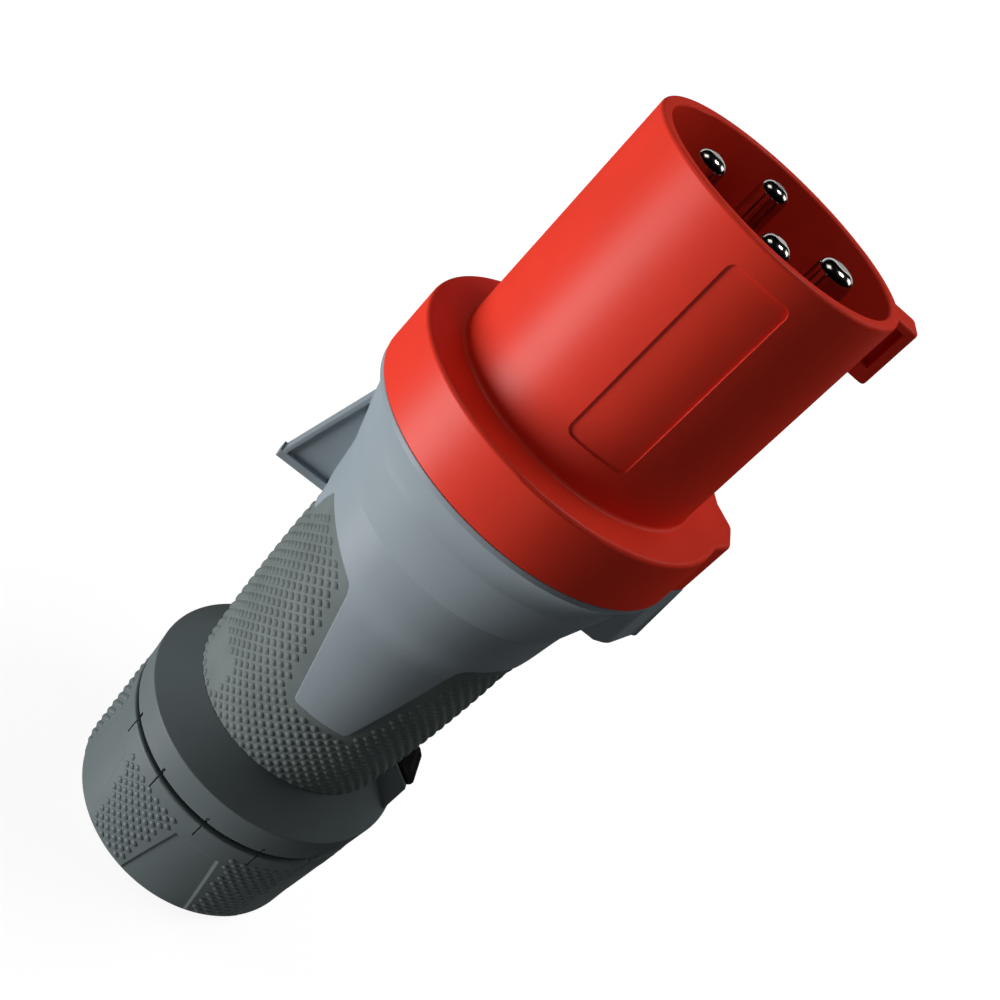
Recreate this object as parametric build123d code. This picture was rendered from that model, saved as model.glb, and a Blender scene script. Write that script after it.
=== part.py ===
from build123d import *
import os
from math import atan2, cos, degrees, hypot, pi, radians, sin, sqrt, tan

# An industrial plug of the pin and sleeve kind, four poles, 63 A. It stands on its gland nut, with its axis
# along Z and the mouth of its shroud on top. The key rib, the earth pin and the nose of the handle are on
# +X, the fin is on -X, and the plain field on the shroud faces -Y. Sizes are in millimetres.

# Lengths along the axis, from the nut's rear face up to the rim
nut_length = 36.0
nut_gap = 1.5
band_length = 10.0
shoulder_length = 9.5
handle_length = 105.0
housing_gap = 0.4
flange_thickness = 17.4
shroud_length = 68.2

# Radii of the outside
shroud_radius = 35.5
flange_radius = 45.95
lip_step = 0.35
throat_radius = 41.3
crease_radius = 36.8
waist_radius = 33.9
grip_end_radius = 30.9
handle_bulge = 0.65
collar_edge_radius = 40.1
collar_rear_radius = 39.25
nut_front_radius = 39.25
nut_rear_radius = 37.35

# Depths on the handle, from its front face down
lip_height = 1.6
throat_depth = 11.0
crease_depth = 26.0
waist_depth = 47.5

# Walls and clearances
shroud_wall = 3.0
shell_wall = 2.8
grip_thickness = 1.8
grip_step = 0.35
seat_clearance = 0.1
slide_clearance = 0.3
thread_clearance = 0.3
screw_clearance = 0.05
screw_play = 0.2

# Pins
phase_pin_radius = 4.0
earth_pin_radius = 5.0
pin_circle_radius = 18.8
pin_recess = 0.9
pin_dome = 3.2
pin_shoulder_radius = 6.6
pin_shoulder_height = 3.0
pin_neck = 0.4
pin_neck_rise = 0.6

# Key rib on the shroud
key_width = 9.0
key_reach = 5.8
key_length = 17.0
key_web = 2.6
key_pocket_floor = 2.2
key_pocket_rear = 3.8
key_cap = 2.8

# Plain field on the shroud, a shallow pocket
field_width = 16.4
field_length = 52.0
field_from_rim = 6.4
field_depth = 0.5
field_corner = 2.2

# Lug on the flange, and the nose behind it
lug_reach = 3.5
lug_top_width = 9.0
lug_foot_width = 23.0
lug_root = 3.0
lug_corner = 3.0
nose_flare = 1.0
nose_length = 19.0
nose_slope_length = 4.4

# Fin on the other side
fin_start_depth = 12.5
fin_end_depth = 43.6
fin_tip_radius = 49.4
fin_web = 1.8
fin_rib_width = 4.2
fin_rib = 1.3
fin_lip = 2.4

# Outline of the soft grip
tongue_tip_depth = 79.2
tongue_tip_width = 16.6
tongue_root_depth = 45.0
tongue_root_width = 33.4
shoulder_corner_depth = 42.2
shoulder_corner_width = 36.0
grip_top_depth = 34.6
grip_key_depth = 40.6
fin_bay_width = 26.0
fin_bay_floor_width = 9.0
fin_bay_depth = 47.6

# Contact carrier and its seat in the shroud
carrier_depth = 60.0
ledge_height = 6.0
ledge_radius = 27.5
carrier_radius = 33.8
carrier_body = 14.0
barrier_height = 17.0
barrier_thickness = 2.0
carrier_screw_circle = 30.6
carrier_screw_radius = 1.5
carrier_screw_head = 2.9
carrier_screw_bite = 4.0
carrier_screw_sink = 3.0
pilot_extra = 0.3

# Frame clamps on the pins' tails
tail_length = 22.0
tail_thickness = 3.5
tail_width = 8.0
cage_wall = 2.2
cage_window = 8.6
cage_height = 12.0
cage_lift = 5.0
clamp_screw_radius = 3.0
clamp_screw_length = 7.4
clamp_screw_overlap = 1.2
tail_play = 0.2
wire_room = 1.0

# Joint between the two housings
spigot_radius = 38.0
spigot_length = 10.5
spigot_wall = 4.0
gasket_height = 2.6
gasket_depth = 1.6
gasket_inset = 2.0
core_wall = 2.6
core_ribs = 6
core_rib_thickness = 2.0
housing_screw_radius = 2.0
housing_screw_head = 3.5
housing_screw_inset = 0.55
housing_screw_bite = 11.0
housing_screw_sink = 6.0
housing_screw_head_height = 4.0
claw_width = 12.0
claw_height = 3.0
claw_reach = 1.3
claw_gap = 1.0
claw_play = 0.2

# Gland
thread_radius = 33.0
thread_length = 21.5
cage_bore_radius = 27.5
shell_spigot_radius = 27.5
cable_way_radius = 21.0
collar_web = 4.0
web_bore_radius = 20.0
collar_gasket_height = 2.0
snap_bead_height = 1.6
snap_bead_reach = 0.6
snap_bead_rise = 3.5
cage_ring_height = 4.4
cage_ring_wall = 3.0
fingers = 12
finger_gap = 1.8
finger_length = 21.4
seal_bore_radius = 14.5
seal_length = 25.2
slip_ring_height = 2.4
slip_ring_inset = 1.0
cable_opening_radius = 19.5
nut_step_radius = 28.0
nut_end_wall = 8.4
nut_end_rounding = 3.4

# Index notches and grip fields
notches = 14
notch_width = 0.9
notch_length = 2.2
notch_depth = 0.8
notch_phase = -69.6
notch_line_width = 0.45
notch_line_depth = 0.35
notch_line_length = 5.2
panels = 6
panel_depth = 0.6
panel_front_inset = 8.6
panel_front_angle = 10.5
panel_rear_inset = 3.0
panel_rear_angle = 17.0
panel_wall_slope = 37.0

# Lock of the gland nut
lock_travel = 3.0
lock_engagement = 1.5
cheek_inner_width = 11.4
cheek_thickness = 1.3
cheek_reach = 38.6
cheek_front_run = 8.0
cheek_room_run = 12.0
thumb_reach = 39.3
thumb_front_run = 7.6
thumb_rear_run = 3.4
thumb_floor_gap = 0.5
lip_rounding = 0.8
pawl_thickness = 3.0
pawl_width = 6.0
pawl_radius = 34.4

# Stations along the axis
collar_rear = nut_length + nut_gap
band_front = collar_rear + band_length
handle_rear = band_front + shoulder_length
handle_front = handle_rear + handle_length
flange_rear = handle_front + housing_gap
flange_front = flange_rear + flange_thickness
rim = flange_front + shroud_length
carrier_front = rim - carrier_depth
carrier_seat = carrier_front - ledge_height
carrier_rear = carrier_seat - carrier_body
bore_radius = spigot_radius - spigot_wall
spigot_end = flange_rear - spigot_length
gasket_low = spigot_end + gasket_inset
claw_low = gasket_low + gasket_height + claw_gap
housing_screw_seat = handle_front - nose_length + housing_screw_sink
gasket_seat = collar_rear + collar_web
shell_spigot_end = gasket_seat + collar_gasket_height
slip_ring_rear = nut_end_wall + seat_clearance
lip_radius = flange_radius - lip_step
housing_screw_x = flange_radius - housing_screw_inset
cage_inner = -tail_thickness - tail_play
cage_outer = cage_inner + cage_window + wire_room

pole_angles = {"earth": 0.0, "l1": 90.0, "l2": 180.0, "l3": 270.0}


def rounded_wire(points):
    """A closed line through (x, y, corner radius) points, with an arc at each corner that has a radius."""
    count = len(points)
    pieces = []
    ends = []
    for i, (x, y, radius) in enumerate(points):
        before = points[i - 1]
        after = points[(i + 1) % count]
        to_before = (before[0] - x, before[1] - y)
        to_after = (after[0] - x, after[1] - y)
        long_before = hypot(*to_before)
        long_after = hypot(*to_after)
        unit_before = (to_before[0] / long_before, to_before[1] / long_before)
        unit_after = (to_after[0] / long_after, to_after[1] / long_after)
        if radius == 0:
            ends.append(((x, y), (x, y)))
            continue
        turn = abs(atan2(unit_before[0] * unit_after[1] - unit_before[1] * unit_after[0],
                         unit_before[0] * unit_after[0] + unit_before[1] * unit_after[1]))
        back = radius / tan(turn / 2)
        start = (x + unit_before[0] * back, y + unit_before[1] * back)
        stop = (x + unit_after[0] * back, y + unit_after[1] * back)
        middle = (unit_before[0] + unit_after[0], unit_before[1] + unit_after[1])
        size = hypot(*middle)
        reach = radius / sin(turn / 2) - radius
        top = (x + middle[0] / size * reach, y + middle[1] / size * reach)
        pieces.append(ThreePointArc(start, top, stop))
        ends.append((start, stop))
    for i in range(count):
        start = ends[i - 1][1]
        stop = ends[i][0]
        if hypot(start[0] - stop[0], start[1] - stop[1]) > 1e-6:
            pieces.append(Line(start, stop))
    return Wire(Curve() + pieces)


def face_of(points):
    """A flat face from (x, y, corner radius) points."""
    return Face(rounded_wire(points))


def lathe(points):
    """A turned solid from (radius, height, corner radius) points."""
    return revolve(Plane.XZ * face_of(points), Axis.Z)


def tube(inner, outer, low, high):
    """A plain ring between two radii and two heights."""
    return lathe([(inner, low, 0), (outer, low, 0), (outer, high, 0), (inner, high, 0)])


def rod(radius, low, high):
    """A plain upright cylinder on the axis."""
    return Pos(0, 0, low) * Cylinder(radius, high - low, align=(Align.CENTER, Align.CENTER, Align.MIN))


def block(x, y, z):
    """A box from three (low, high) pairs."""
    size = [high - low for low, high in (x, y, z)]
    middle = [(high + low) / 2 for low, high in (x, y, z)]
    return Pos(*middle) * Box(*size)


def plate_xz(points, low_y, high_y):
    """A plate between two Y values from (x, z, corner radius) points."""
    sheet = extrude(Plane.XZ * face_of(points), high_y - low_y, dir=(0, 1, 0))
    return Pos(0, low_y, 0) * sheet


def plate_yz(points, low_x, high_x):
    """A plate between two X values from (y, z, corner radius) points."""
    sheet = extrude(Plane.YZ * face_of(points), high_x - low_x, dir=(1, 0, 0))
    return Pos(low_x, 0, 0) * sheet


def around(shape, count, phase=0.0):
    """Copies of a shape at equal steps round the axis."""
    return [Rot(0, 0, phase + i * 360.0 / count) * shape for i in range(count)]


def handle_radius(depth):
    """Radius of the handle's outside below the waist, on the arc that runs to the collar."""
    share = (depth - waist_depth) / (handle_length - waist_depth)
    bulge = handle_bulge * 4 * share * (1 - share)
    return waist_radius + (grip_end_radius - waist_radius) * share + bulge


def handle_curve(inset):
    """The outline of the handle's lower part, moved in by a wall, from the crease down to the collar."""
    steps = 6
    depths = [waist_depth + (handle_length - waist_depth) * i / steps for i in range(steps + 1)]
    low = [(handle_radius(depth) - inset, handle_front - depth) for depth in depths]
    neck = [(crease_radius - inset, handle_front - crease_depth),
            (crease_radius - 0.85 - inset, handle_front - crease_depth - 7.0),
            (waist_radius + 1.25 - inset, handle_front - waist_depth + 8.0)]
    upper = Spline(*[Vector(*point) for point in neck + low[:1]],
                   tangents=(Vector(-0.16, -1), Vector(-0.05, -1)))
    lower = Spline(*[Vector(*point) for point in low], tangents=(Vector(-0.05, -1), Vector(-0.1, -1)))
    return upper, lower, low[-1], neck[0]


def handle_solid(inset):
    """The handle's outside as a turned solid from its lip to the collar, moved in by a wall."""
    upper, lower, foot, neck = handle_curve(inset)
    front = handle_front
    lip = (lip_radius - inset, front - lip_height)
    throat = (throat_radius - inset, front - throat_depth)
    hollow = ((lip[0] + throat[0]) / 2 - 1.0, (lip[1] + throat[1]) / 2 - 0.6)
    edges = [Line((0, front), (lip[0], front)), Line((lip[0], front), lip),
             ThreePointArc(lip, hollow, throat), Line(throat, neck), upper, lower,
             Line(foot, (0, foot[1])), Line((0, foot[1]), (0, front))]
    return revolve(Plane.XZ * Face(Wire(Curve() + edges)), Axis.Z)


def grip_outline():
    """The zone of the handle that the soft grip covers: a sleeve with two tongues, a bay for the fin and a
    lower edge towards the key."""
    rear = handle_rear - 1.0
    wide = 60.0
    tip = tongue_tip_width / 2
    root = tongue_root_width / 2
    corner = shoulder_corner_width / 2
    z_tip = handle_front - tongue_tip_depth
    z_root = handle_front - tongue_root_depth
    z_corner = handle_front - shoulder_corner_depth
    z_top = handle_front - grip_top_depth
    z_key = handle_front - grip_key_depth
    sides = [(-wide, rear, 0), (wide, rear, 0), (wide, z_key, 0), (corner + 7, z_key, 5.0),
             (corner, z_corner, 3.0), (root, z_root, 0), (tip, z_tip, 1.5), (-tip, z_tip, 1.5),
             (-root, z_root, 0), (-corner, z_corner, 3.0), (-waist_radius, z_top, 0), (-wide, z_top, 0)]
    zone = plate_xz(sides, -wide, wide)
    bay_top = fin_bay_width / 2
    bay_floor = fin_bay_floor_width / 2
    z_bay = handle_front - fin_bay_depth
    z_over = handle_front - throat_depth
    slope = (bay_top - bay_floor) / (z_top - z_bay)
    bay_wide = bay_floor + slope * (z_over - z_bay)
    bay = plate_yz([(-bay_wide, z_over, 0), (-bay_floor, z_bay, 2.5), (bay_floor, z_bay, 2.5),
                    (bay_wide, z_over, 0)], -wide, 0)
    return zone - bay


def lug_face(low, high):
    """The outline of the lug and the nose seen along the axis, as a plate between two heights."""
    top = lug_top_width / 2
    foot = lug_foot_width / 2
    outer = flange_radius + lug_reach
    inner = sqrt(flange_radius ** 2 - foot ** 2) - 0.4
    outline = [(inner - lug_root, -foot, 0), (inner, -foot, lug_corner / 2), (outer, -top, lug_corner),
               (outer, top, lug_corner), (inner, foot, lug_corner / 2), (inner - lug_root, foot, 0)]
    return Pos(0, 0, low) * extrude(face_of(outline), high - low, dir=(0, 0, 1))


def front_shroud():
    """Red moulding: skirt, flange with its lug, ledge for the carrier, and the spigot for the handle."""
    wide = shroud_radius
    inner = wide - shroud_wall
    skirt = lathe([(inner, carrier_front, 0), (inner, rim, 0.7), (wide, rim, 0.9), (wide, flange_front, 1.0),
                   (flange_radius - 2.5, flange_front, 0), (flange_radius - 2.5, flange_front - 2, 0),
                   (bore_radius, flange_front - 2, 0), (bore_radius, carrier_seat, 0),
                   (ledge_radius, carrier_seat, 0), (ledge_radius, carrier_front, 0)])
    plate = rod(flange_radius, flange_rear, flange_front) + lug_face(flange_rear, flange_front)
    plate = fillet(plate.edges().group_by(Axis.Z)[-1], 1.2)
    plate = plate - rod(bore_radius, flange_rear, flange_front)
    spigot = tube(bore_radius, spigot_radius, spigot_end, flange_rear)
    body = skirt + plate + spigot
    # the flange is cored out from behind, with ribs left in
    core = tube(spigot_radius + 0.4, flange_radius - core_wall, flange_rear - 1, flange_front - core_wall)
    rib = block((spigot_radius - 1, flange_radius), (-core_rib_thickness / 2, core_rib_thickness / 2),
                (flange_rear - 2, flange_front))
    for copy in around(rib, core_ribs, 15.0):
        core -= copy
    core -= block((spigot_radius, flange_radius + lug_reach), (-lug_top_width, lug_top_width),
                  (flange_rear - 2, flange_front))
    body -= core
    # groove of the gasket and the claw that hooks the handle
    body -= tube(spigot_radius - gasket_depth, spigot_radius + 1, gasket_low, gasket_low + gasket_height)
    claw = block((-spigot_radius - claw_reach, -spigot_radius + 1), (-claw_width / 2, claw_width / 2),
                 (claw_low, claw_low + claw_height))
    body += claw
    # key rib with a pocket in each side and a web between them
    reach = wide + key_reach
    key = block((inner + 1, reach), (-key_width / 2, key_width / 2), (rim - key_length, rim))
    key = fillet(key.edges().filter_by(Axis.Z).group_by(Axis.X)[-1], 1.4)
    for end in (0, -1):
        key = fillet(key.faces().sort_by(Axis.Z)[end].edges().sort_by(Axis.X)[-1], 1.0)
    body += key
    pocket = block((wide - 0.1, reach - key_cap), (key_web / 2, key_width),
                   (rim - key_length + key_pocket_rear, rim - key_pocket_floor))
    ring = tube(wide, reach, rim - key_length, rim)
    body -= pocket & ring
    body -= mirror(pocket, Plane.XZ) & ring
    # plain field
    half = field_width / 2
    field_top = rim - field_from_rim
    outline = [(-half, field_top - field_length, field_corner), (half, field_top - field_length, field_corner),
               (half, field_top, field_corner), (-half, field_top, field_corner)]
    field = plate_xz(outline, -wide - 5, 0)
    body -= field & tube(wide - field_depth, wide + 2, rim - shroud_length, rim)
    # holes for the carrier's screws and for the housing screw
    pilot = rod(carrier_screw_radius + screw_clearance, carrier_seat - 1,
                carrier_seat + carrier_screw_bite + pilot_extra)
    for copy in around(Pos(carrier_screw_circle, 0, 0) * pilot, 4, 45.0):
        body -= copy
    body -= Pos(housing_screw_x, 0, 0) * rod(housing_screw_radius + screw_clearance, flange_rear - 1,
                                             flange_rear + housing_screw_bite + pilot_extra)
    return body


def contact_carrier():
    """Insert that holds the pins: a boss inside the ledge, a body behind it and barriers between the poles."""
    boss = rod(ledge_radius - seat_clearance, carrier_seat, carrier_front)
    body = boss + rod(carrier_radius, carrier_rear, carrier_seat)
    wall = block((4.0, carrier_radius - 4.0), (-barrier_thickness / 2, barrier_thickness / 2),
                 (carrier_rear - barrier_height, carrier_rear))
    hub = rod(5.0, carrier_rear - barrier_height, carrier_rear)
    body += hub
    for copy in around(wall, 4, 45.0):
        body += copy
    for name, angle in pole_angles.items():
        radius = pin_radius(name)
        hole = rod(radius + seat_clearance, carrier_seat - 1, carrier_front + 1)
        hole += rod(pin_shoulder_radius + seat_clearance, carrier_rear - 1, carrier_seat)
        body -= Rot(0, 0, angle) * Pos(pin_circle_radius, 0, 0) * hole
    shank = rod(carrier_screw_radius + screw_play, carrier_rear - 1, carrier_seat + 1)
    head = rod(carrier_screw_head + screw_play, carrier_rear - 1, carrier_rear + carrier_screw_sink)
    for copy in around(Pos(carrier_screw_circle, 0, 0) * (shank + head), 4, 45.0):
        body -= copy
    return body


def pin_radius(name):
    return earth_pin_radius if name == "earth" else phase_pin_radius


def pin(name):
    """Turned contact pin with a domed tip, a shoulder in the carrier and a flat tail for its clamp."""
    radius = pin_radius(name)
    top = rim - pin_recess
    shoulder_low = carrier_seat - pin_shoulder_height
    tip = Line((0, top), (radius * 0.34, top))
    dome = ThreePointArc((radius * 0.34, top), (radius * 0.84, top - pin_dome * 0.32), (radius, top - pin_dome))
    neck = radius - pin_neck
    neck_top = carrier_front + pin_neck_rise
    edges = [tip, dome, Line((radius, top - pin_dome), (radius, neck_top)),
             Line((radius, neck_top), (neck, neck_top)), Line((neck, neck_top), (neck, carrier_seat)),
             Line((neck, carrier_seat), (pin_shoulder_radius, carrier_seat)),
             Line((pin_shoulder_radius, carrier_seat), (pin_shoulder_radius, shoulder_low)),
             Line((pin_shoulder_radius, shoulder_low), (radius, shoulder_low)),
             Line((radius, shoulder_low), (radius, carrier_rear)),
             Line((radius, carrier_rear), (0, carrier_rear)), Line((0, carrier_rear), (0, top))]
    shaft = revolve(Plane.XZ * Face(Wire(Curve() + edges)), Axis.Z)
    tail = block((-tail_thickness, 0), (-tail_width / 2, tail_width / 2),
                 (carrier_rear - tail_length, carrier_rear + 1))
    shape = shaft + tail
    return Rot(0, 0, pole_angles[name]) * Pos(pin_circle_radius, 0, 0) * shape


def cage_top():
    return carrier_rear - cage_lift


def terminal_cage(name):
    """Square frame clamp that hangs on the pin's tail; the wire goes in beside the tail."""
    half_window = cage_window / 2
    half = half_window + cage_wall
    low = cage_top() - cage_height
    frame = block((cage_inner - cage_wall, cage_outer + cage_wall), (-half, half), (low, cage_top()))
    frame = fillet(frame.edges().filter_by(Axis.Z), 1.2)
    frame -= block((cage_inner, cage_outer), (-half_window, half_window), (low - 1, cage_top() + 1))
    drill = Pos(0, 0, low + cage_height / 2) * Rot(0, 90, 0) * Cylinder(
        clamp_screw_radius + screw_clearance, 3 * cage_window, align=(Align.CENTER, Align.CENTER, Align.MIN))
    frame -= drill & block((cage_outer - 1, cage_outer + cage_window), (-half, half), (low, cage_top()))
    return Rot(0, 0, pole_angles[name]) * Pos(pin_circle_radius, 0, 0) * frame


def terminal_screws():
    """One slotted clamp screw in each frame clamp, turned back so that a wire can go in."""
    start = cage_outer - clamp_screw_overlap
    middle = cage_top() - cage_height / 2
    screw = Cylinder(clamp_screw_radius, clamp_screw_length, align=(Align.CENTER, Align.CENTER, Align.MIN))
    slot = Pos(0, 0, clamp_screw_length) * Box(1.2, 8.0, 2.4)
    screw = Pos(pin_circle_radius + start, 0, middle) * Rot(0, 90, 0) * (screw - slot)
    return [Rot(0, 0, angle) * screw for angle in pole_angles.values()]


def carrier_screws():
    """Pan-head screws that pull the carrier against the ledge."""
    sink = carrier_rear + carrier_screw_sink
    shank = rod(carrier_screw_radius, sink, carrier_seat + carrier_screw_bite)
    head = rod(carrier_screw_head, carrier_rear + 0.4, sink)
    slot = Pos(0, 0, carrier_rear + 0.4) * Box(6.2, 0.8, 1.6)
    return around(Pos(carrier_screw_circle, 0, 0) * (shank + head - slot), 4, 45.0)


def housing_gasket():
    """Rubber ring in the spigot's groove."""
    inner = spigot_radius - gasket_depth
    outer = spigot_radius + seat_clearance
    high = gasket_low + gasket_height
    return lathe([(inner, gasket_low, 0), (outer, gasket_low, 0.5), (outer, high, 0.5), (inner, high, 0)])


def housing_screw():
    """Cap screw that goes up through the nose into the flange's lug."""
    low = housing_screw_seat - housing_screw_head_height
    shank = rod(housing_screw_radius, housing_screw_seat, flange_rear + housing_screw_bite)
    head = rod(housing_screw_head, low, housing_screw_seat)
    socket = Pos(0, 0, low) * extrude(RegularPolygon(1.7, 6), 2.2)
    return Pos(housing_screw_x, 0, 0) * (shank + head - socket)


def nose():
    """Nose of the handle behind the flange's lug, with a sloping rear end."""
    low = handle_front - nose_length - nose_slope_length
    outer = flange_radius + lug_reach
    side = [(throat_radius - 2.6, handle_front, 0), (outer, handle_front, 0),
            (outer + nose_flare, handle_front - nose_length, 1.0), (throat_radius - 0.5, low, 0),
            (crease_radius - 1.0, low, 0), (crease_radius - 1.0, handle_front - crease_depth + 4, 0)]
    plate = plate_xz(side, -lug_foot_width, lug_foot_width)
    wide = lug_foot_width / 2
    top = lug_top_width / 2
    reach = outer + nose_flare + 1
    inner = sqrt(flange_radius ** 2 - wide ** 2) - 0.4
    outline = [(crease_radius - 2, -wide, 0), (inner, -wide, lug_corner), (outer, -top, 0), (reach, -top, 0),
               (reach, top, 0), (outer, top, 0), (inner, wide, lug_corner), (crease_radius - 2, wide, 0)]
    return plate & (Pos(0, 0, low - 1) * extrude(face_of(outline), handle_front - low + 1, dir=(0, 0, 1)))


def fin():
    """Three-cornered fin opposite the key: a thin web with a rib on its outer edge and a lip at its rear."""
    z_start = handle_front - fin_start_depth
    z_end = handle_front - fin_end_depth
    root = waist_radius - grip_thickness - 1.0
    web = plate_xz([(-throat_radius + 0.6, z_start, 0), (-fin_tip_radius, z_end, 0), (-root, z_end, 0),
                    (-crease_radius + 1.5, z_start, 0)], -fin_web / 2, fin_web / 2)
    run = hypot(fin_tip_radius - throat_radius, fin_end_depth - fin_start_depth)
    across = (fin_rib * (fin_end_depth - fin_start_depth) / run,
              fin_rib * (fin_tip_radius - throat_radius) / run)
    rib = plate_xz([(-throat_radius + 0.6, z_start, 0), (-fin_tip_radius, z_end, 0),
                    (-fin_tip_radius + across[0], z_end, 0),
                    (-throat_radius + 0.6 + across[0], z_start - across[1], 0)],
                   -fin_rib_width / 2, fin_rib_width / 2)
    lip = block((-fin_tip_radius, -root), (-fin_rib_width / 2, fin_rib_width / 2), (z_end, z_end + fin_lip))
    return web + rib + lip


def shell_cavity():
    """The hollow of the handle: the seat of the spigot, then a cone down to the cable's way."""
    seat = handle_front - throat_depth
    wall = grip_thickness + shell_wall
    low = handle_rear + 6.0
    points = [(0, handle_front + 1, 0), (spigot_radius + 0.2, handle_front + 1, 0),
              (spigot_radius + 0.2, seat, 0), (throat_radius - 3.7, seat - 1.5, 0),
              (crease_radius - 3.3, handle_front - crease_depth, 0),
              (waist_radius - wall, handle_front - waist_depth, 0),
              (grip_end_radius - wall + 0.6, low, 2.0), (cable_way_radius, low - 5.0, 0),
              (cable_way_radius, shell_spigot_end - 1, 0), (0, shell_spigot_end - 1, 0)]
    return lathe(points)


def snap_bead(clearance):
    """Bead on the handle's rear spigot, or with a clearance the groove that it snaps into."""
    low = shell_spigot_end + snap_bead_rise - clearance
    high = low + snap_bead_height + 2 * clearance
    inner = shell_spigot_radius - 1.0
    wide = shell_spigot_radius + snap_bead_reach + clearance
    return lathe([(inner, low, 0), (wide - snap_bead_reach, low, 0), (wide, low + snap_bead_reach, 0),
                  (wide, high, 0), (inner, high, 0)])


def grip_shell():
    """Grey handle shell: lip, throat, cone, tongues, nose and fin, hollow, with a spigot at its rear."""
    outside = handle_solid(0.0) + nose() + fin()
    outside += rod(shell_spigot_radius, shell_spigot_end, handle_rear + 1)
    outside += snap_bead(0.0)
    body = outside - shell_cavity() - grip_recess(0.0)
    # the claw's pocket in the seat of the spigot
    half = claw_width / 2 + claw_play
    body -= block((-spigot_radius - claw_reach - claw_play, -spigot_radius + 2), (-half, half),
                  (claw_low - claw_play, claw_low + claw_height + claw_play))
    # hole and counterbore of the housing screw
    hole = rod(housing_screw_radius + screw_play, housing_screw_seat - 1, handle_front + 1)
    hole += rod(housing_screw_head + screw_play, handle_front - nose_length - nose_slope_length - 2,
                housing_screw_seat)
    return body - Pos(housing_screw_x, 0, 0) * hole


def grip_recess(step):
    """The recess of the soft grip in the handle, filled to a step below the handle's surface."""
    return (handle_solid(step) - handle_solid(grip_thickness)) & grip_outline()


def soft_grip():
    """Soft sleeve moulded into the handle's recess, a little lower than the shell beside it."""
    return grip_recess(grip_step)


def lock_slot(clearance, low, high):
    """The way of the pawl through the collar, as a block between two heights."""
    wide = pawl_width / 2 + clearance
    inner = pawl_radius - clearance
    return block((inner, pawl_radius + pawl_thickness + clearance), (-wide, wide), (low, high))


def cheek(low_y, high_y):
    """One side wall of the lock, which leans forward over the end of the grip."""
    front = handle_rear + cheek_front_run
    top = handle_rear + cheek_front_run - (cheek_reach - grip_end_radius) * 0.72
    side = [(grip_end_radius - 0.5, front, 0), (cheek_reach, top, 0.8), (cheek_reach, band_front, 0),
            (collar_edge_radius - 3, band_front - 1, 0), (grip_end_radius - 1.5, handle_rear - 1.5, 0)]
    plate = plate_xz(side, low_y, high_y)
    room_low = handle_rear - seat_clearance
    room = lathe([(0, room_low, 0), (grip_end_radius + 0.3, room_low, 0),
                  (handle_radius(handle_length - cheek_room_run) + 0.3, handle_rear + cheek_room_run, 0),
                  (0, handle_rear + cheek_room_run, 0)])
    return plate - room


def gland_collar():
    """Flared collar: a conical shoulder, the band with its notches, the lock's cheeks and the spigot."""
    top = handle_rear - seat_clearance
    bore = shell_spigot_radius + seat_clearance
    spigot_low = collar_rear - thread_length
    body = lathe([(bore, top, 0), (grip_end_radius - grip_step + 0.05, top, 0.2),
                  (collar_edge_radius, band_front, 0.5), (collar_rear_radius, collar_rear, lip_rounding),
                  (thread_radius, collar_rear, 0),
                  (thread_radius, spigot_low, 1.0), (cage_bore_radius, spigot_low, 0),
                  (cage_bore_radius, collar_rear, 0), (web_bore_radius, collar_rear, 0),
                  (web_bore_radius, gasket_seat, 0), (bore, gasket_seat, 0)])
    body -= snap_bead(seat_clearance)
    for side in (1, -1):
        near = side * cheek_inner_width / 2
        far = side * (cheek_inner_width / 2 + cheek_thickness)
        body += cheek(min(near, far), max(near, far))
    body -= lock_slot(slide_clearance, collar_rear - 1, handle_rear)
    # the thumb piece slides into this bay of the shoulder when it locks
    half = cheek_inner_width / 2
    body -= block((grip_end_radius + 0.6, collar_edge_radius + 3), (-half, half),
                  (band_front + 0.6, handle_rear + 1))
    notch = block((collar_rear_radius - notch_depth, collar_edge_radius + 1),
                  (-notch_width / 2, notch_width / 2), (collar_rear - 1, collar_rear + notch_length))
    for copy in around(notch, notches, notch_phase):
        body -= copy
    return body


def lock_slider():
    """Black thumb slider with a rounded head and a pawl that reaches down to the nut."""
    half = cheek_inner_width / 2 - slide_clearance
    front = handle_rear + thumb_front_run
    floor = handle_radius(handle_length - thumb_front_run) + thumb_floor_gap
    low = band_front + lock_travel + 1.2
    back = pawl_radius + pawl_thickness
    head_rear = handle_rear + thumb_rear_run
    side = [(floor, front, 1.2), (thumb_reach - 2.6, front, 2.2), (thumb_reach, front - 2.6, 1.6),
            (thumb_reach, head_rear, 1.4), (back, head_rear - 2.0, 0), (back, low, 0), (floor, low, 0)]
    thumb = plate_xz(side, -half, half)
    return thumb + lock_slot(0.0, collar_rear + seat_clearance, low + 1)


def collar_gasket():
    """Flat rubber ring between the handle's spigot and the collar's web."""
    return tube(web_bore_radius + 1.5, shell_spigot_radius - 0.2, gasket_seat, shell_spigot_end)


def clamp_cage():
    """Ring with springy fingers that close on the cable when the nut is tightened."""
    outer = cage_bore_radius - 0.2
    inner = outer - cage_ring_wall
    top = collar_rear - seat_clearance
    ring_low = top - cage_ring_height
    tip = ring_low - finger_length
    body = lathe([(inner, top, 0), (outer, top, 0), (outer, tip + 6, 0), (outer - 2.2, tip, 0.6),
                  (inner - 0.6, tip, 0.4), (inner, tip + 5, 0)])
    slit = block((inner - 3, outer + 1), (-finger_gap / 2, finger_gap / 2), (tip - 1, ring_low))
    for copy in around(slit, fingers):
        body -= copy
    return body


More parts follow.
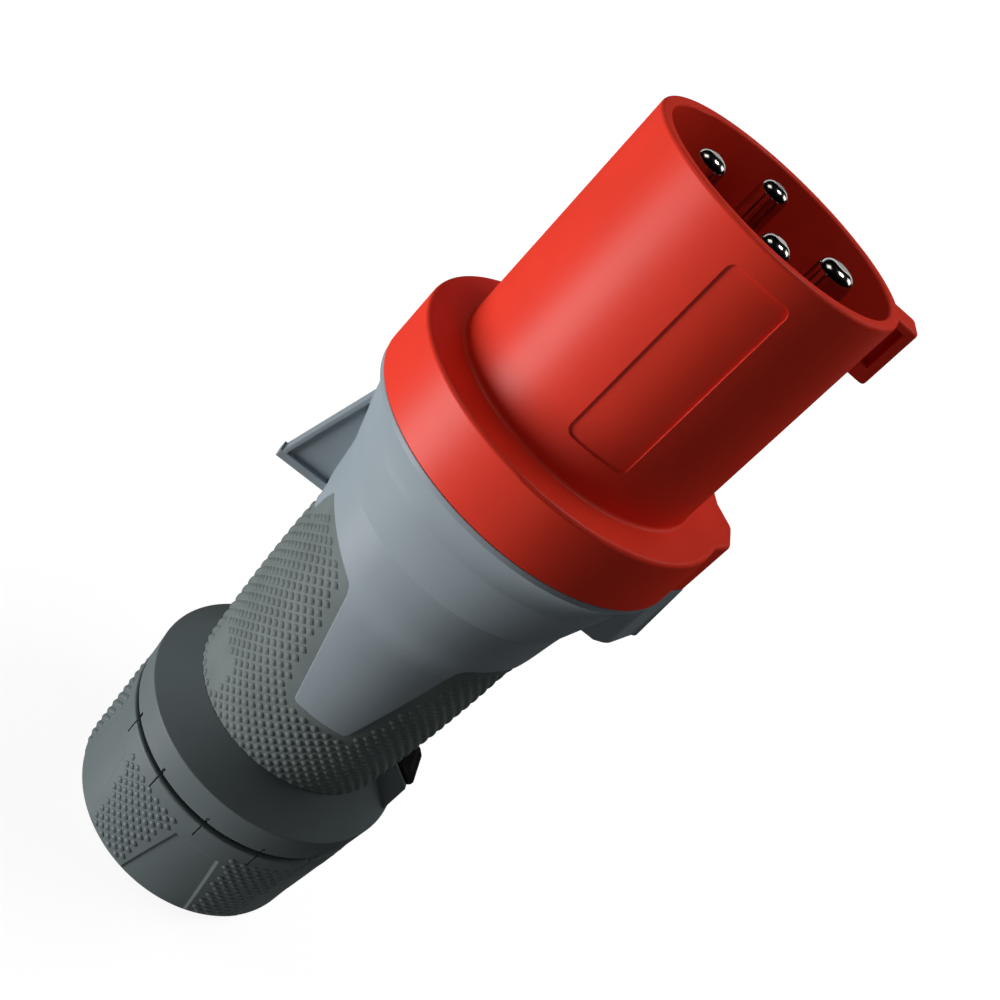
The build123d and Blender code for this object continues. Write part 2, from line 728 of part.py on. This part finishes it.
def gland_seal():
    """Rubber grommet inside the fingers."""
    outer = cage_bore_radius - 0.2 - cage_ring_wall - 0.1
    top = collar_rear - seat_clearance
    low = top - seal_length
    return lathe([(seal_bore_radius, top, 1.0), (outer, top, 0.8), (outer, low + 6, 0),
                  (outer - 3, low, 0.8), (seal_bore_radius, low, 1.0)])


def slip_ring():
    """Flat ring that the nut pushes against the fingers, so that they aren't twisted."""
    inner = cable_opening_radius + slip_ring_inset
    outer = nut_step_radius - thread_clearance
    top = slip_ring_rear + slip_ring_height
    return lathe([(inner, slip_ring_rear, 0), (outer, slip_ring_rear, 0.4), (outer, top, 0.4), (inner, top, 0)])


def nut_outer_radius(z):
    """Radius of the nut's plain outside at a height."""
    share = z / nut_length
    return nut_rear_radius + (nut_front_radius - nut_rear_radius) * share


def panel_side(side):
    """The space inside one slanted side wall of a smooth panel of the nut."""
    high = nut_length - panel_front_inset
    front_angle = side * radians(panel_front_angle)
    rear_angle = side * radians(panel_rear_angle)
    front_radius = nut_outer_radius(high)
    front = Vector(front_radius * cos(front_angle), front_radius * sin(front_angle), high)
    rear_radius = nut_outer_radius(panel_rear_inset)
    rear = Vector(rear_radius * cos(rear_angle), rear_radius * sin(rear_angle), panel_rear_inset)
    middle_angle = (front_angle + rear_angle) / 2
    outward = Vector(cos(middle_angle), sin(middle_angle), 0)
    away = Vector(-sin(middle_angle), cos(middle_angle), 0) * side
    slope = radians(panel_wall_slope)
    down_the_wall = -away * cos(slope) - outward * sin(slope)
    normal = (rear - front).cross(down_the_wall)
    if normal.dot(outward) < 0:
        normal = -normal
    wall = Plane(origin=front, x_dir=(rear - front), z_dir=normal)
    return wall * Box(200, 200, 60, align=(Align.CENTER, Align.CENTER, Align.MIN))


def smooth_panel():
    """The cut of one smooth panel between two knurled fields of the nut; it runs out at the rounded end."""
    high = nut_length - panel_front_inset
    ramp = panel_depth / tan(radians(panel_wall_slope))
    outer = nut_front_radius + 3
    skin = lathe([(nut_outer_radius(-1) - panel_depth, -1, 0), (outer, -1, 0),
                  (outer, high + (outer - nut_outer_radius(high)) / tan(radians(panel_wall_slope)), 0),
                  (nut_outer_radius(high - ramp) - panel_depth, high - ramp, 0)])
    sector = block((0, outer + 1), (-nut_rear_radius / 2, nut_rear_radius / 2), (-2, nut_length + 6))
    return skin & sector & panel_side(1) & panel_side(-1)


def gland_nut():
    """Gland nut: a tapered body with a rounded rear end, smooth panels, notches and ratchet pockets."""
    bore = thread_radius + thread_clearance
    step = nut_end_wall + slip_ring_height + 2.0
    body = lathe([(cable_opening_radius, 0, 0), (nut_rear_radius, 0, nut_end_rounding),
                  (nut_front_radius, nut_length, lip_rounding), (bore, nut_length, 0.6), (bore, step + 3, 0),
                  (nut_step_radius, step + 1.5, 0), (nut_step_radius, nut_end_wall, 0),
                  (cable_opening_radius, nut_end_wall, 0)])
    for copy in around(smooth_panel(), panels, 180.0 / panels):
        body -= copy
    line_low = nut_length - notch_line_length
    line = block((nut_outer_radius(line_low) - notch_line_depth, nut_front_radius + 2),
                 (-notch_line_width / 2, notch_line_width / 2), (line_low, nut_length + 1))
    for copy in around(line, notches, notch_phase):
        body -= copy
    wide = pawl_width / 2 + slide_clearance
    pocket = block((pawl_radius - slide_clearance, pawl_radius + pawl_thickness + slide_clearance),
                   (-wide, wide), (nut_length - lock_engagement - slide_clearance, nut_length + 1))
    for copy in around(pocket, notches):
        body -= copy
    return body


nodes = {
    "front_shroud": front_shroud(),
    "contact_carrier": contact_carrier(),
    "pin_l1": pin("l1"),
    "pin_l2": pin("l2"),
    "pin_l3": pin("l3"),
    "pin_earth": pin("earth"),
    "terminal_cage_l1": terminal_cage("l1"),
    "terminal_cage_l2": terminal_cage("l2"),
    "terminal_cage_l3": terminal_cage("l3"),
    "terminal_cage_earth": terminal_cage("earth"),
    "terminal_screws": terminal_screws(),
    "carrier_screws": carrier_screws(),
    "housing_gasket": housing_gasket(),
    "housing_screw": housing_screw(),
    "grip_shell": grip_shell(),
    "soft_grip": soft_grip(),
    "gland_collar": gland_collar(),
    "lock_slider": lock_slider(),
    "collar_gasket": collar_gasket(),
    "clamp_cage": clamp_cage(),
    "gland_seal": gland_seal(),
    "slip_ring": slip_ring(),
    "gland_nut": gland_nut(),
}

os.makedirs("parts", exist_ok=True)
for name, shape in nodes.items():
    if isinstance(shape, list):
        shape = Compound(children=shape)
    export_step(shape, f"parts/{name}.step")
    box = shape.bounding_box()
    print(name, round(shape.volume / 1000, 2), "cm3", [round(v, 1) for v in (*box.min, *box.max)])
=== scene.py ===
from math import ceil, cos, pi, radians, sin, sqrt

import bpy
from mathutils import Matrix, Vector
from mathutils.bvhtree import BVHTree


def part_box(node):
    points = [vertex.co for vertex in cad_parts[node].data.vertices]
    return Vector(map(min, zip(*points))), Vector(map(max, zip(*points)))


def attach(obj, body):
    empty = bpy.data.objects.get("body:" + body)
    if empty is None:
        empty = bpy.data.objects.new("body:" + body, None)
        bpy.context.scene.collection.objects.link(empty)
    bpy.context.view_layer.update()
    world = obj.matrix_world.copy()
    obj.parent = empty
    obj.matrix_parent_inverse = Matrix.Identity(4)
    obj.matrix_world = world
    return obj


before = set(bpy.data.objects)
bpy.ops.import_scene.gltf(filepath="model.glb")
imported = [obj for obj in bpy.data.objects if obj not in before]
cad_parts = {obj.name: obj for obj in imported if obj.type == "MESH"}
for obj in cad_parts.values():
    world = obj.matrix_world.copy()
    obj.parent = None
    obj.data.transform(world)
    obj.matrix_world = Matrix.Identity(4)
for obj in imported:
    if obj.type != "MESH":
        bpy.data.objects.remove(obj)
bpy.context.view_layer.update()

# The shroud is one red polyamide moulding: the skirt round the pins, the flange with its lug, and the key rib.
# Its skin is satin, with the fine eroded grain of the mould, and its spigot plugs into the handle.


class Reading:
    """A value that varies over a surface; arithmetic on it adds Math nodes to its finish."""

    def __init__(self, finish, socket):
        self.finish = finish
        self.socket = socket

    def worked(self, operation, first, second):
        return self.finish.node("Math", {"operation": operation}, {0: first, 1: second})

    def __add__(self, other):
        return self.worked("ADD", self, other)

    def __radd__(self, other):
        return self.worked("ADD", other, self)

    def __sub__(self, other):
        return self.worked("SUBTRACT", self, other)

    def __rsub__(self, other):
        return self.worked("SUBTRACT", other, self)

    def __mul__(self, other):
        return self.worked("MULTIPLY", self, other)

    def __rmul__(self, other):
        return self.worked("MULTIPLY", other, self)


class Finish:
    """One procedural finish, mixed on a Principled shader. Places on it are in the object's own metres."""

    def __init__(self, name):
        self.material = bpy.data.materials.new(name)
        self.material.use_nodes = True
        self.tree = self.material.node_tree
        self.shader = self.tree.nodes["Principled BSDF"]
        self.place = self.node("TexCoord", output="Object")

    def node(self, kind, settings=None, sockets=None, output=0):
        """Adds a node: its settings first, then the values or links of its sockets."""
        made = self.tree.nodes.new("ShaderNode" + kind)
        for setting, value in (settings or {}).items():
            setattr(made, setting, value)
        for socket, value in (sockets or {}).items():
            self.feed(made.inputs[socket], value)
        return Reading(self, made.outputs[output])

    def feed(self, socket, value):
        """Sets a socket to a value, or links a reading to it."""
        if isinstance(value, Reading):
            self.tree.links.new(value.socket, socket)
        else:
            socket.default_value = value

    def set(self, **values):
        """Sets the shader's sockets by their names, with _ for a space."""
        for name, value in values.items():
            self.feed(self.shader.inputs[name.replace("_", " ")], value)

    def cloud(self, size, detail=2.0, stretch=(1, 1, 1)):
        """Soft noise from 0 to 1 with lumps of about a size in metres, stretched along the axes."""
        spot = self.node("VectorMath", {"operation": "MULTIPLY"}, {0: self.place, 1: stretch})
        return self.node("TexNoise", {}, {"Vector": spot, "Scale": 1 / size, "Detail": detail})

    def eased(self, value, low, high, start=0.0, end=1.0):
        """A value run smoothly from start at low to end at high."""
        limits = {"Value": value, "From Min": low, "From Max": high, "To Min": start, "To Max": end}
        return self.node("MapRange", {"interpolation_type": "SMOOTHSTEP"}, limits)

    def mixed(self, share, first, second):
        """A colour between two others."""
        return self.node("Mix", {"data_type": "RGBA"}, {0: share, 6: first, 7: second}, output=2)

    def bumped(self, height, depth, base=None):
        """A normal from a height of 0 to 1 that stands for a depth in metres."""
        sockets = {"Height": height, "Distance": depth, "Strength": 1.0}
        if base is not None:
            sockets["Normal"] = base
        return self.node("Bump", {}, sockets)

    def glazed(self, share, roughness, normal):
        """Lays an even reflection over the shader, no stronger at a glancing angle than head on."""
        mirror = self.node("BsdfAnisotropic", {"distribution": "GGX"}, {"Roughness": roughness, "Normal": normal})
        body = Reading(self, self.shader.outputs["BSDF"])
        both = self.node("MixShader", {}, {0: share, 1: body, 2: mirror})
        self.feed(self.tree.nodes["Material Output"].inputs["Surface"], both)


def tinted(colour, factor):
    """A linear colour made lighter or darker by a factor."""
    return (*(min(channel * factor, 1.0) for channel in colour), 1.0)


def moulded(name, colour, roughness, gloss, grain_size, grain_depth, edge=0.0003, mottle=0.05):
    """A moulded plastic: eroded grain, slightly rounded edges, and faint clouds in its colour and sheen."""
    made = Finish(name)
    cloud = made.cloud(0.022, 3.0)
    drift = made.cloud(0.006, 2.0)
    grain = made.cloud(grain_size, 2.0)
    tone = made.eased(cloud, 0.35, 0.65)
    body = made.mixed(tone, tinted(colour, 1 - mottle), tinted(colour, 1 + mottle))
    speck = made.eased(grain, 0.60, 0.75, 0.0, 0.22)
    rounded = made.node("Bevel", {"samples": 4}, {"Radius": edge})
    skin = made.bumped(grain, grain_depth, rounded)
    made.set(
        Base_Color=made.mixed(speck, body, tinted(colour, 1 + 3 * mottle)),
        Roughness=roughness + (drift - 0.5) * 0.10 + (grain - 0.5) * 0.08,
        Specular_IOR_Level=0.0,
        Normal=skin,
    )
    made.glazed(gloss, roughness, skin)
    return made.material


def dress(node, material):
    """Gives a CAD node its finish."""
    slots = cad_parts[node].data.materials
    slots.clear()
    slots.append(material)


shroud_red = (0.86, 0.044, 0.021)
dress("front_shroud", moulded("satin_red_polyamide", shroud_red, 0.40, 0.026, 0.00045, 0.000012, mottle=0.025))

# The contact carrier is a darker red insert, pushed in from behind against the shroud's ledge and screwed there.
# It is a duller, glass-filled moulding.

carrier_red = (0.36, 0.020, 0.012)
dress("contact_carrier", moulded("glass_filled_red", carrier_red, 0.55, 0.008, 0.0006, 0.00002))

# The four pins are turned from brass and plated with bright nickel, which keeps the fine rings of the tool.
# They stand in the carrier, and their flat tails go into the frame clamps.


def turned_nickel():
    made = Finish("nickel_on_turned_brass")
    height = made.node("SeparateXYZ", {}, {0: made.place}, output="Z")
    rings = made.node("TexNoise", {"noise_dimensions": "1D"}, {"W": height, "Scale": 4200.0, "Detail": 2.0})
    haze = made.cloud(0.004, 3.0)
    made.set(
        Base_Color=made.mixed(made.eased(haze, 0.3, 0.7), (0.44, 0.42, 0.39, 1), (0.54, 0.52, 0.49, 1)),
        Metallic=1.0,
        Roughness=0.14 + (haze - 0.5) * 0.08 + (rings - 0.5) * 0.06,
        Normal=made.bumped(rings, 0.0000012),
    )
    return made.material


nickel = turned_nickel()
for pole in ("l1", "l2", "l3", "earth"):
    dress("pin_" + pole, nickel)

# Frame clamps hang on the pins' tails. They are bent from steel strip and zinc plated, as their screws are,
# and the same plate is on the screws of the carrier and of the housing.


def zinc_plate(name, colour):
    made = Finish(name)
    brushed = made.cloud(0.0004, 2.0, (1, 1, 0.08))
    spangle = made.node("TexVoronoi", {}, {"Vector": made.place, "Scale": 900.0}, output="Distance")
    made.set(
        Base_Color=made.mixed(made.eased(spangle, 0.1, 0.6), tinted(colour, 0.85), tinted(colour, 1.08)),
        Metallic=1.0,
        Roughness=0.34 + (brushed - 0.5) * 0.22,
        Normal=made.bumped(brushed, 0.000006),
    )
    return made.material


clamp_zinc = zinc_plate("zinc_on_clamp_steel", (0.56, 0.55, 0.52))
screw_zinc = zinc_plate("zinc_on_screw_steel", (0.62, 0.61, 0.58))
for pole in ("l1", "l2", "l3", "earth"):
    dress("terminal_cage_" + pole, clamp_zinc)
for screws in ("terminal_screws", "carrier_screws", "housing_screw"):
    dress(screws, screw_zinc)

# Three rubber pieces keep water out: a ring in the groove of the shroud's spigot, a flat ring under the collar,
# and the grommet that the cable goes through. They are matt black with a bloom of dust.


def seal_rubber():
    made = Finish("black_seal_rubber")
    bloom = made.cloud(0.005, 4.0)
    skin = made.cloud(0.0005, 2.0)
    made.set(
        Base_Color=made.mixed(made.eased(bloom, 0.4, 0.8), (0.012, 0.012, 0.013, 1), (0.040, 0.040, 0.041, 1)),
        Roughness=0.72 + (bloom - 0.5) * 0.2,
        Specular_IOR_Level=0.3,
        Normal=made.bumped(skin, 0.00002),
    )
    return made.material


rubber = seal_rubber()
for seal in ("housing_gasket", "collar_gasket", "gland_seal"):
    dress(seal, rubber)

# The handle shell is grey polyamide, with two tongues that run down over the grip, the nose for the housing
# screw, and a fin. Its grain is a little coarser than the shroud's.

shell_grey = (0.290, 0.340, 0.375)
dress("grip_shell", moulded("grained_grey_polyamide", shell_grey, 0.42, 0.026, 0.0006, 0.000016, 0.0006, 0.02))

# The soft grip is moulded into a recess of the shell. Its elastomer is knurled all over with small blunt
# pyramids in staggered rows, apart from a smooth border and a bare patch at one side.


def elastomer(name, colour):
    made = Finish(name)
    cloud = made.cloud(0.012, 3.0)
    skin = made.cloud(0.0004, 2.0)
    rubbed = made.mixed(made.eased(cloud, 0.3, 0.7), tinted(colour, 0.93), tinted(colour, 1.07))
    worn = made.bumped(skin, 0.000014, made.node("Bevel", {"samples": 4}, {"Radius": 0.00012}))
    made.set(
        Base_Color=rubbed,
        Roughness=0.50 + (cloud - 0.5) * 0.12 + (skin - 0.5) * 0.1,
        Specular_IOR_Level=0.0,
        Normal=worn,
    )
    made.glazed(0.012, 0.50, worn)
    return made.material


line_start = 0.060
line_length = 0.033
steepest = 0.95


def skin_tree(node):
    """The outside of a CAD node, to seat small pieces on."""
    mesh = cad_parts[node].data
    corners = [vertex.co for vertex in mesh.vertices]
    return BVHTree.FromPolygons(corners, [list(polygon.vertices) for polygon in mesh.polygons])


def skin_point(tree, angle, height):
    """Where a line from outside towards the axis meets the near side of a skin, with the skin's normal."""
    outward = Vector((cos(angle), sin(angle), 0))
    start = outward * line_start + Vector((0, 0, height))
    point, normal, _, _ = tree.ray_cast(start, -outward, line_length)
    if point is None:
        return None
    slope = max(-steepest, min(steepest, normal.z))
    return point, outward * sqrt(1 - slope ** 2) + Vector((0, 0, slope)), outward


pyramid_sides = 8
edge_softness = 0.84


def pyramid(corners, faces, seat, half_across, half_along, rings):
    """Adds one closed, blunt pyramid with softened edges, its diagonals across and along the object's axis."""
    point, normal, outward = seat
    across = Vector((-outward.y, outward.x, 0))
    along = normal.cross(across)
    first = len(corners)
    for share, lift in rings:
        for side in range(pyramid_sides):
            turn = 2 * pi * side / pyramid_sides
            reach = share * (edge_softness if side % 2 else 1.0)
            corners.append(point + across * (cos(turn) * half_across * reach)
                           + along * (sin(turn) * half_along * reach) + normal * lift)
    faces.append([first + side for side in range(pyramid_sides)][::-1])
    for level in range(len(rings) - 1):
        low = first + pyramid_sides * level
        for side in range(pyramid_sides):
            beside = (side + 1) % pyramid_sides
            faces.append([low + side, low + beside, low + pyramid_sides + beside, low + pyramid_sides + side])
    top = first + pyramid_sides * (len(rings) - 1)
    faces.append([top + side for side in range(pyramid_sides)])


def mesh_piece(name, corners, faces, material, body):
    """A new mesh piece with a smooth skin that rides on a body."""
    mesh = bpy.data.meshes.new(name)
    mesh.from_pydata(corners, [], faces)
    mesh.validate()
    mesh.shade_smooth()
    mesh.materials.append(material)
    piece = bpy.data.objects.new(name, mesh)
    bpy.context.scene.collection.objects.link(piece)
    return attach(piece, body)


grip_rubber = (0.16, 0.19, 0.185)
grip_elastomer = elastomer("knurled_grey_elastomer", grip_rubber)
dress("soft_grip", grip_elastomer)

row_pitch = 0.00179
knurls_round = 57
border = 0.0034
first_row_rise = 0.0009
pyramid_rings = ((0.74, -0.00012), (0.60, 0.00010), (0.32, 0.00036), (0.10, 0.00043))
patch_angles = (radians(192), radians(222))
patch_heights = (0.0590, 0.0712)
grip_low, grip_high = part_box("soft_grip")
grip_skin = skin_tree("soft_grip")
grip_corners = []
grip_faces = []
probes = [(1, 0), (0.7, 0.7), (0, 1), (-0.7, 0.7), (-1, 0)]
for row in range(ceil((grip_high.z - grip_low.z) / row_pitch)):
    height = grip_low.z + first_row_rise + row * row_pitch
    for column in range(knurls_round):
        angle = 2 * pi * (column + 0.5 * (row % 2)) / knurls_round
        if patch_angles[0] < angle < patch_angles[1] and patch_heights[0] < height < patch_heights[1]:
            continue
        seat = skin_point(grip_skin, angle, height)
        if seat is None:
            continue
        radius = seat[0].xy.length
        around_seat = [skin_point(grip_skin, angle + border * across / radius, height + border * up)
                       for across, up in probes]
        if None not in around_seat:
            pyramid(grip_corners, grip_faces, seat, pi * radius / knurls_round, row_pitch, pyramid_rings)
mesh_piece("grip_knurl", grip_corners, grip_faces, grip_elastomer, "root")

# The gland collar is dark grey polyamide. It snaps over the handle's rear spigot, and below its notched band it
# has the threaded spigot of the gland, which shows when the nut is turned back.

gland_grey = (0.120, 0.146, 0.150)
gland_finish = moulded("satin_dark_grey_polyamide", gland_grey, 0.42, 0.026, 0.0005, 0.000012, mottle=0.03)
dress("gland_collar", gland_finish)

thread_pitch = 0.004
thread_low = 0.0180
thread_high = 0.0362
thread_root = 0.03280
thread_crest = 0.03322
thread_profile = ((thread_root, -0.00115), (thread_crest, -0.00050),
                  (thread_crest, 0.00050), (thread_root, 0.00115))
steps_a_turn = 72
run_out_steps = 12
turns = (thread_high - thread_low) / thread_pitch
thread_corners = []
thread_faces = []
for step in range(int(turns * steps_a_turn) + 1):
    angle = 2 * pi * step / steps_a_turn
    height = thread_low + thread_pitch * step / steps_a_turn
    fullness = min(1.0, step / run_out_steps, (turns * steps_a_turn - step) / run_out_steps)
    for radius, rise in thread_profile:
        reach = thread_root + (radius - thread_root) * fullness
        thread_corners.append((reach * cos(angle), reach * sin(angle), height + rise))
    if step:
        last = 4 * (step - 1)
        for side in range(4):
            beside = (side + 1) % 4
            thread_faces.append([last + side, last + 4 + side, last + 4 + beside, last + beside])
thread_faces.append([0, 1, 2, 3])
thread_faces.append([len(thread_corners) - 1 - side for side in range(4)])
mesh_piece("collar_thread", thread_corners, thread_faces, gland_finish, "root")

# The lock slider is a glossy black moulding. It runs between the collar's cheeks, and its pawl drops into the
# nut's pockets.

slider_black = (0.010, 0.010, 0.011)
dress("lock_slider", moulded("glossy_black_acetal", slider_black, 0.30, 0.014, 0.0005, 0.000004, mottle=0.2))

# Inside the gland a cage of springy fingers closes on the cable. The nut pushes it by way of a flat slip ring,
# which doesn't turn. Both are moulded in matt black polyamide.

cage_black = (0.014, 0.015, 0.015)
cage_finish = moulded("matt_black_polyamide", cage_black, 0.50, 0.015, 0.0006, 0.00001, mottle=0.2)
for ring in ("clamp_cage", "slip_ring"):
    dress(ring, cage_finish)

# The gland nut is moulded in the collar's plastic and screws onto its spigot. Six knurled fields, broad at the
# front and narrow at the rear, stand between smooth panels.

dress("gland_nut", gland_finish)

nut_pitch = 0.0035
nut_fields = 6
field_front_height = 0.0282
field_rear_height = 0.0030
field_front_angle = radians(18.9)
field_rear_angle = radians(12.7)
field_margin = 0.0005
knurl_share = 0.6
half_columns = 5
first_row_height = 0.0300
last_row_height = 0.0034
nut_rings = ((0.74, -0.00012), (0.60, 0.00010), (0.32, 0.00034), (0.10, 0.00041))
nut_skin = skin_tree("gland_nut")
nut_corners = []
nut_faces = []
for field in range(nut_fields):
    middle = 2 * pi * field / nut_fields
    for row in range(int((first_row_height - last_row_height) / (nut_pitch / 2)) + 1):
        height = first_row_height - row * nut_pitch / 2
        down = min(1.0, max(0.0, (field_front_height - height) / (field_front_height - field_rear_height)))
        half_angle = field_front_angle + (field_rear_angle - field_front_angle) * down
        radius = skin_point(nut_skin, middle, height)[0].xy.length
        for column in range(-half_columns, half_columns + 1):
            offset = (column + 0.5 * (row % 2)) * nut_pitch
            if abs(offset) + nut_pitch / 2 * knurl_share + field_margin > radius * half_angle:
                continue
            seat = skin_point(nut_skin, middle + offset / radius, height)
            pyramid(nut_corners, nut_faces, seat, nut_pitch / 2, nut_pitch / 2, nut_rings)
mesh_piece("nut_knurl", nut_corners, nut_faces, gland_finish, "nut")

# The plug stands on its nut on a pale studio floor. The floor and the world look white to the camera and in
# reflections, and the floor keeps the plug's shadow.


def seen_directly(finish):
    """1 for rays from the camera, a reflection or clear matter, and 0 for light on its way to a surface."""
    camera_ray = finish.node("LightPath", output="Is Camera Ray")
    mirror_ray = finish.node("LightPath", output="Is Glossy Ray")
    clear_ray = finish.node("LightPath", output="Is Transmission Ray")
    return finish.node("Clamp", {}, {"Value": camera_ray + mirror_ray + clear_ray})


def studio_floor():
    made = Finish("white_studio_floor")
    distance = made.node("VectorMath", {"operation": "LENGTH"}, {0: made.place}, output="Value")
    glow = made.eased(distance, 0.25, 0.80, 0.90, 1.0)
    paper = made.node("BsdfDiffuse", {}, {"Color": (0.30, 0.30, 0.30, 1)})
    light = made.node("Emission", {}, {"Color": (1, 1, 1, 1), "Strength": glow})
    white = made.node("AddShader", {}, {0: paper, 1: light})
    shown = made.node("MixShader", {}, {0: seen_directly(made), 1: paper, 2: white})
    made.feed(made.tree.nodes["Material Output"].inputs["Surface"], shown)
    return made.material


def square(half_side, height):
    """The corners of a level square round the axis."""
    return [(-half_side, -half_side, height), (half_side, -half_side, height),
            (half_side, half_side, height), (-half_side, half_side, height)]


floor_half_side = 8.0
floor_height = -0.0002
floor_mesh = bpy.data.meshes.new("studio_floor")
floor_mesh.from_pydata(square(floor_half_side, floor_height), [], [[0, 1, 2, 3]])
floor_mesh.materials.append(studio_floor())
floor = bpy.data.objects.new("studio_floor", floor_mesh)
bpy.context.scene.collection.objects.link(floor)
floor.visible_shadow = False
floor.visible_glossy = False


class Surround(Finish):
    """The world's light, in place of a finish."""

    def __init__(self):
        world = bpy.data.worlds.new("studio")
        world.use_nodes = True
        bpy.context.scene.world = world
        self.tree = world.node_tree


around_plug = Surround()
dim = around_plug.node("Background", {}, {"Color": (1, 1, 1, 1), "Strength": 0.065})
bright = around_plug.node("Background", {}, {"Color": (1, 1, 1, 1), "Strength": 1.0})
shown = around_plug.node("MixShader", {}, {0: seen_directly(around_plug), 1: dim, 2: bright})
around_plug.feed(around_plug.tree.nodes["World Output"].inputs["Surface"], shown)

# Black cards keep the white studio out of most of the plug's reflections: a hood over the lamps, open at the
# back, a low card across that opening, and one on the floor at the key's side. Only reflections see them.


def black_card(name, corners, faces):
    made = Finish("black_card")
    made.set(Base_Color=(0.006, 0.006, 0.006, 1), Specular_IOR_Level=0.0, Roughness=1.0)
    mesh = bpy.data.meshes.new(name)
    mesh.from_pydata(corners, [], faces)
    mesh.materials.append(made.material)
    card = bpy.data.objects.new(name, mesh)
    card.visible_camera = False
    card.visible_diffuse = False
    card.visible_transmission = False
    card.visible_shadow = False
    bpy.context.scene.collection.objects.link(card)


hood_half_side = 2.2
hood_height = 1.3
back_card_height = 0.75
hood_foot = square(hood_half_side, 0.0)
hood_top = square(hood_half_side, hood_height)
card_top = square(hood_half_side, back_card_height)
black_card("hood", hood_foot + hood_top, [[4, 5, 6, 7], [0, 1, 5, 4], [1, 2, 6, 5], [3, 0, 4, 7]])
black_card("back_card", [hood_foot[3], hood_foot[2], card_top[2], card_top[3]], [[0, 1, 2, 3]])
black_card("low_card", [(0.06, -2.0, 0.002), (2.0, -2.0, 0.002), (2.0, 0.6, 0.002), (0.06, 0.6, 0.002)],
           [[0, 1, 2, 3]])

# A tall softbox at the fin's side gives most of the light. It stands below the floor, which casts no shadow, so
# its light comes up along the handle. One softbox hangs overhead, two small ones put spots on the pins' tips,
# and two weak fills, which no reflection shows, light the front and the back.


def softbox(name, place, target, width, height, watts, mirrored=True):
    lamp = bpy.data.lights.new(name, "AREA")
    lamp.shape = "RECTANGLE"
    lamp.size = width
    lamp.size_y = height
    lamp.energy = watts
    holder = bpy.data.objects.new(name, lamp)
    holder.location = place
    holder.rotation_euler = (Vector(target) - Vector(place)).to_track_quat("-Z", "Y").to_euler()
    holder.visible_glossy = mirrored
    bpy.context.scene.collection.objects.link(holder)


softbox("side_softbox", (-1.017, -0.330, -0.425), (0, 0, 0.12), 0.55, 0.85, 16.5)
softbox("front_fill", (0.20, -0.25, 0.45), (0, 0, 0.20), 0.20, 0.20, 0.07, mirrored=False)
softbox("left_kicker", (-0.70, 0.06, 1.05), (0, 0, 0.24), 0.40, 0.40, 1.00)
softbox("right_kicker", (0.78, 0.40, 0.84), (0, 0, 0.24), 0.40, 0.40, 1.30)
softbox("top_softbox", (0.22, 0.06, 1.05), (0, 0, 0.18), 0.26, 0.26, 1.75)
softbox("back_fill", (0.62, 0.85, 0.22), (0, 0, 0.12), 0.50, 0.50, 1.8, mirrored=False)

# The camera looks down at the mouth of the shroud from the plain field's side, and it is rolled so that the
# plug leans across the picture.

camera_data = bpy.data.cameras.new("camera")
camera_data.lens = 51.62
camera_data.sensor_width = 36.0
camera_data.clip_start = 0.01
camera = bpy.data.objects.new("camera", camera_data)
bpy.context.scene.collection.objects.link(camera)
camera_right = Vector((0.76723, 0.15921, 0.62130))
camera_up = Vector((-0.60794, 0.48918, 0.62540))
camera_back = Vector((-0.20437, -0.85755, 0.47210))
camera_turn = Matrix((camera_right, camera_up, camera_back)).transposed()
camera.matrix_world = Matrix.Translation((-0.07298, -0.30936, 0.31752)) @ camera_turn.to_4x4()
bpy.context.scene.camera = camera
bpy.context.scene.view_settings.view_transform = "Standard"
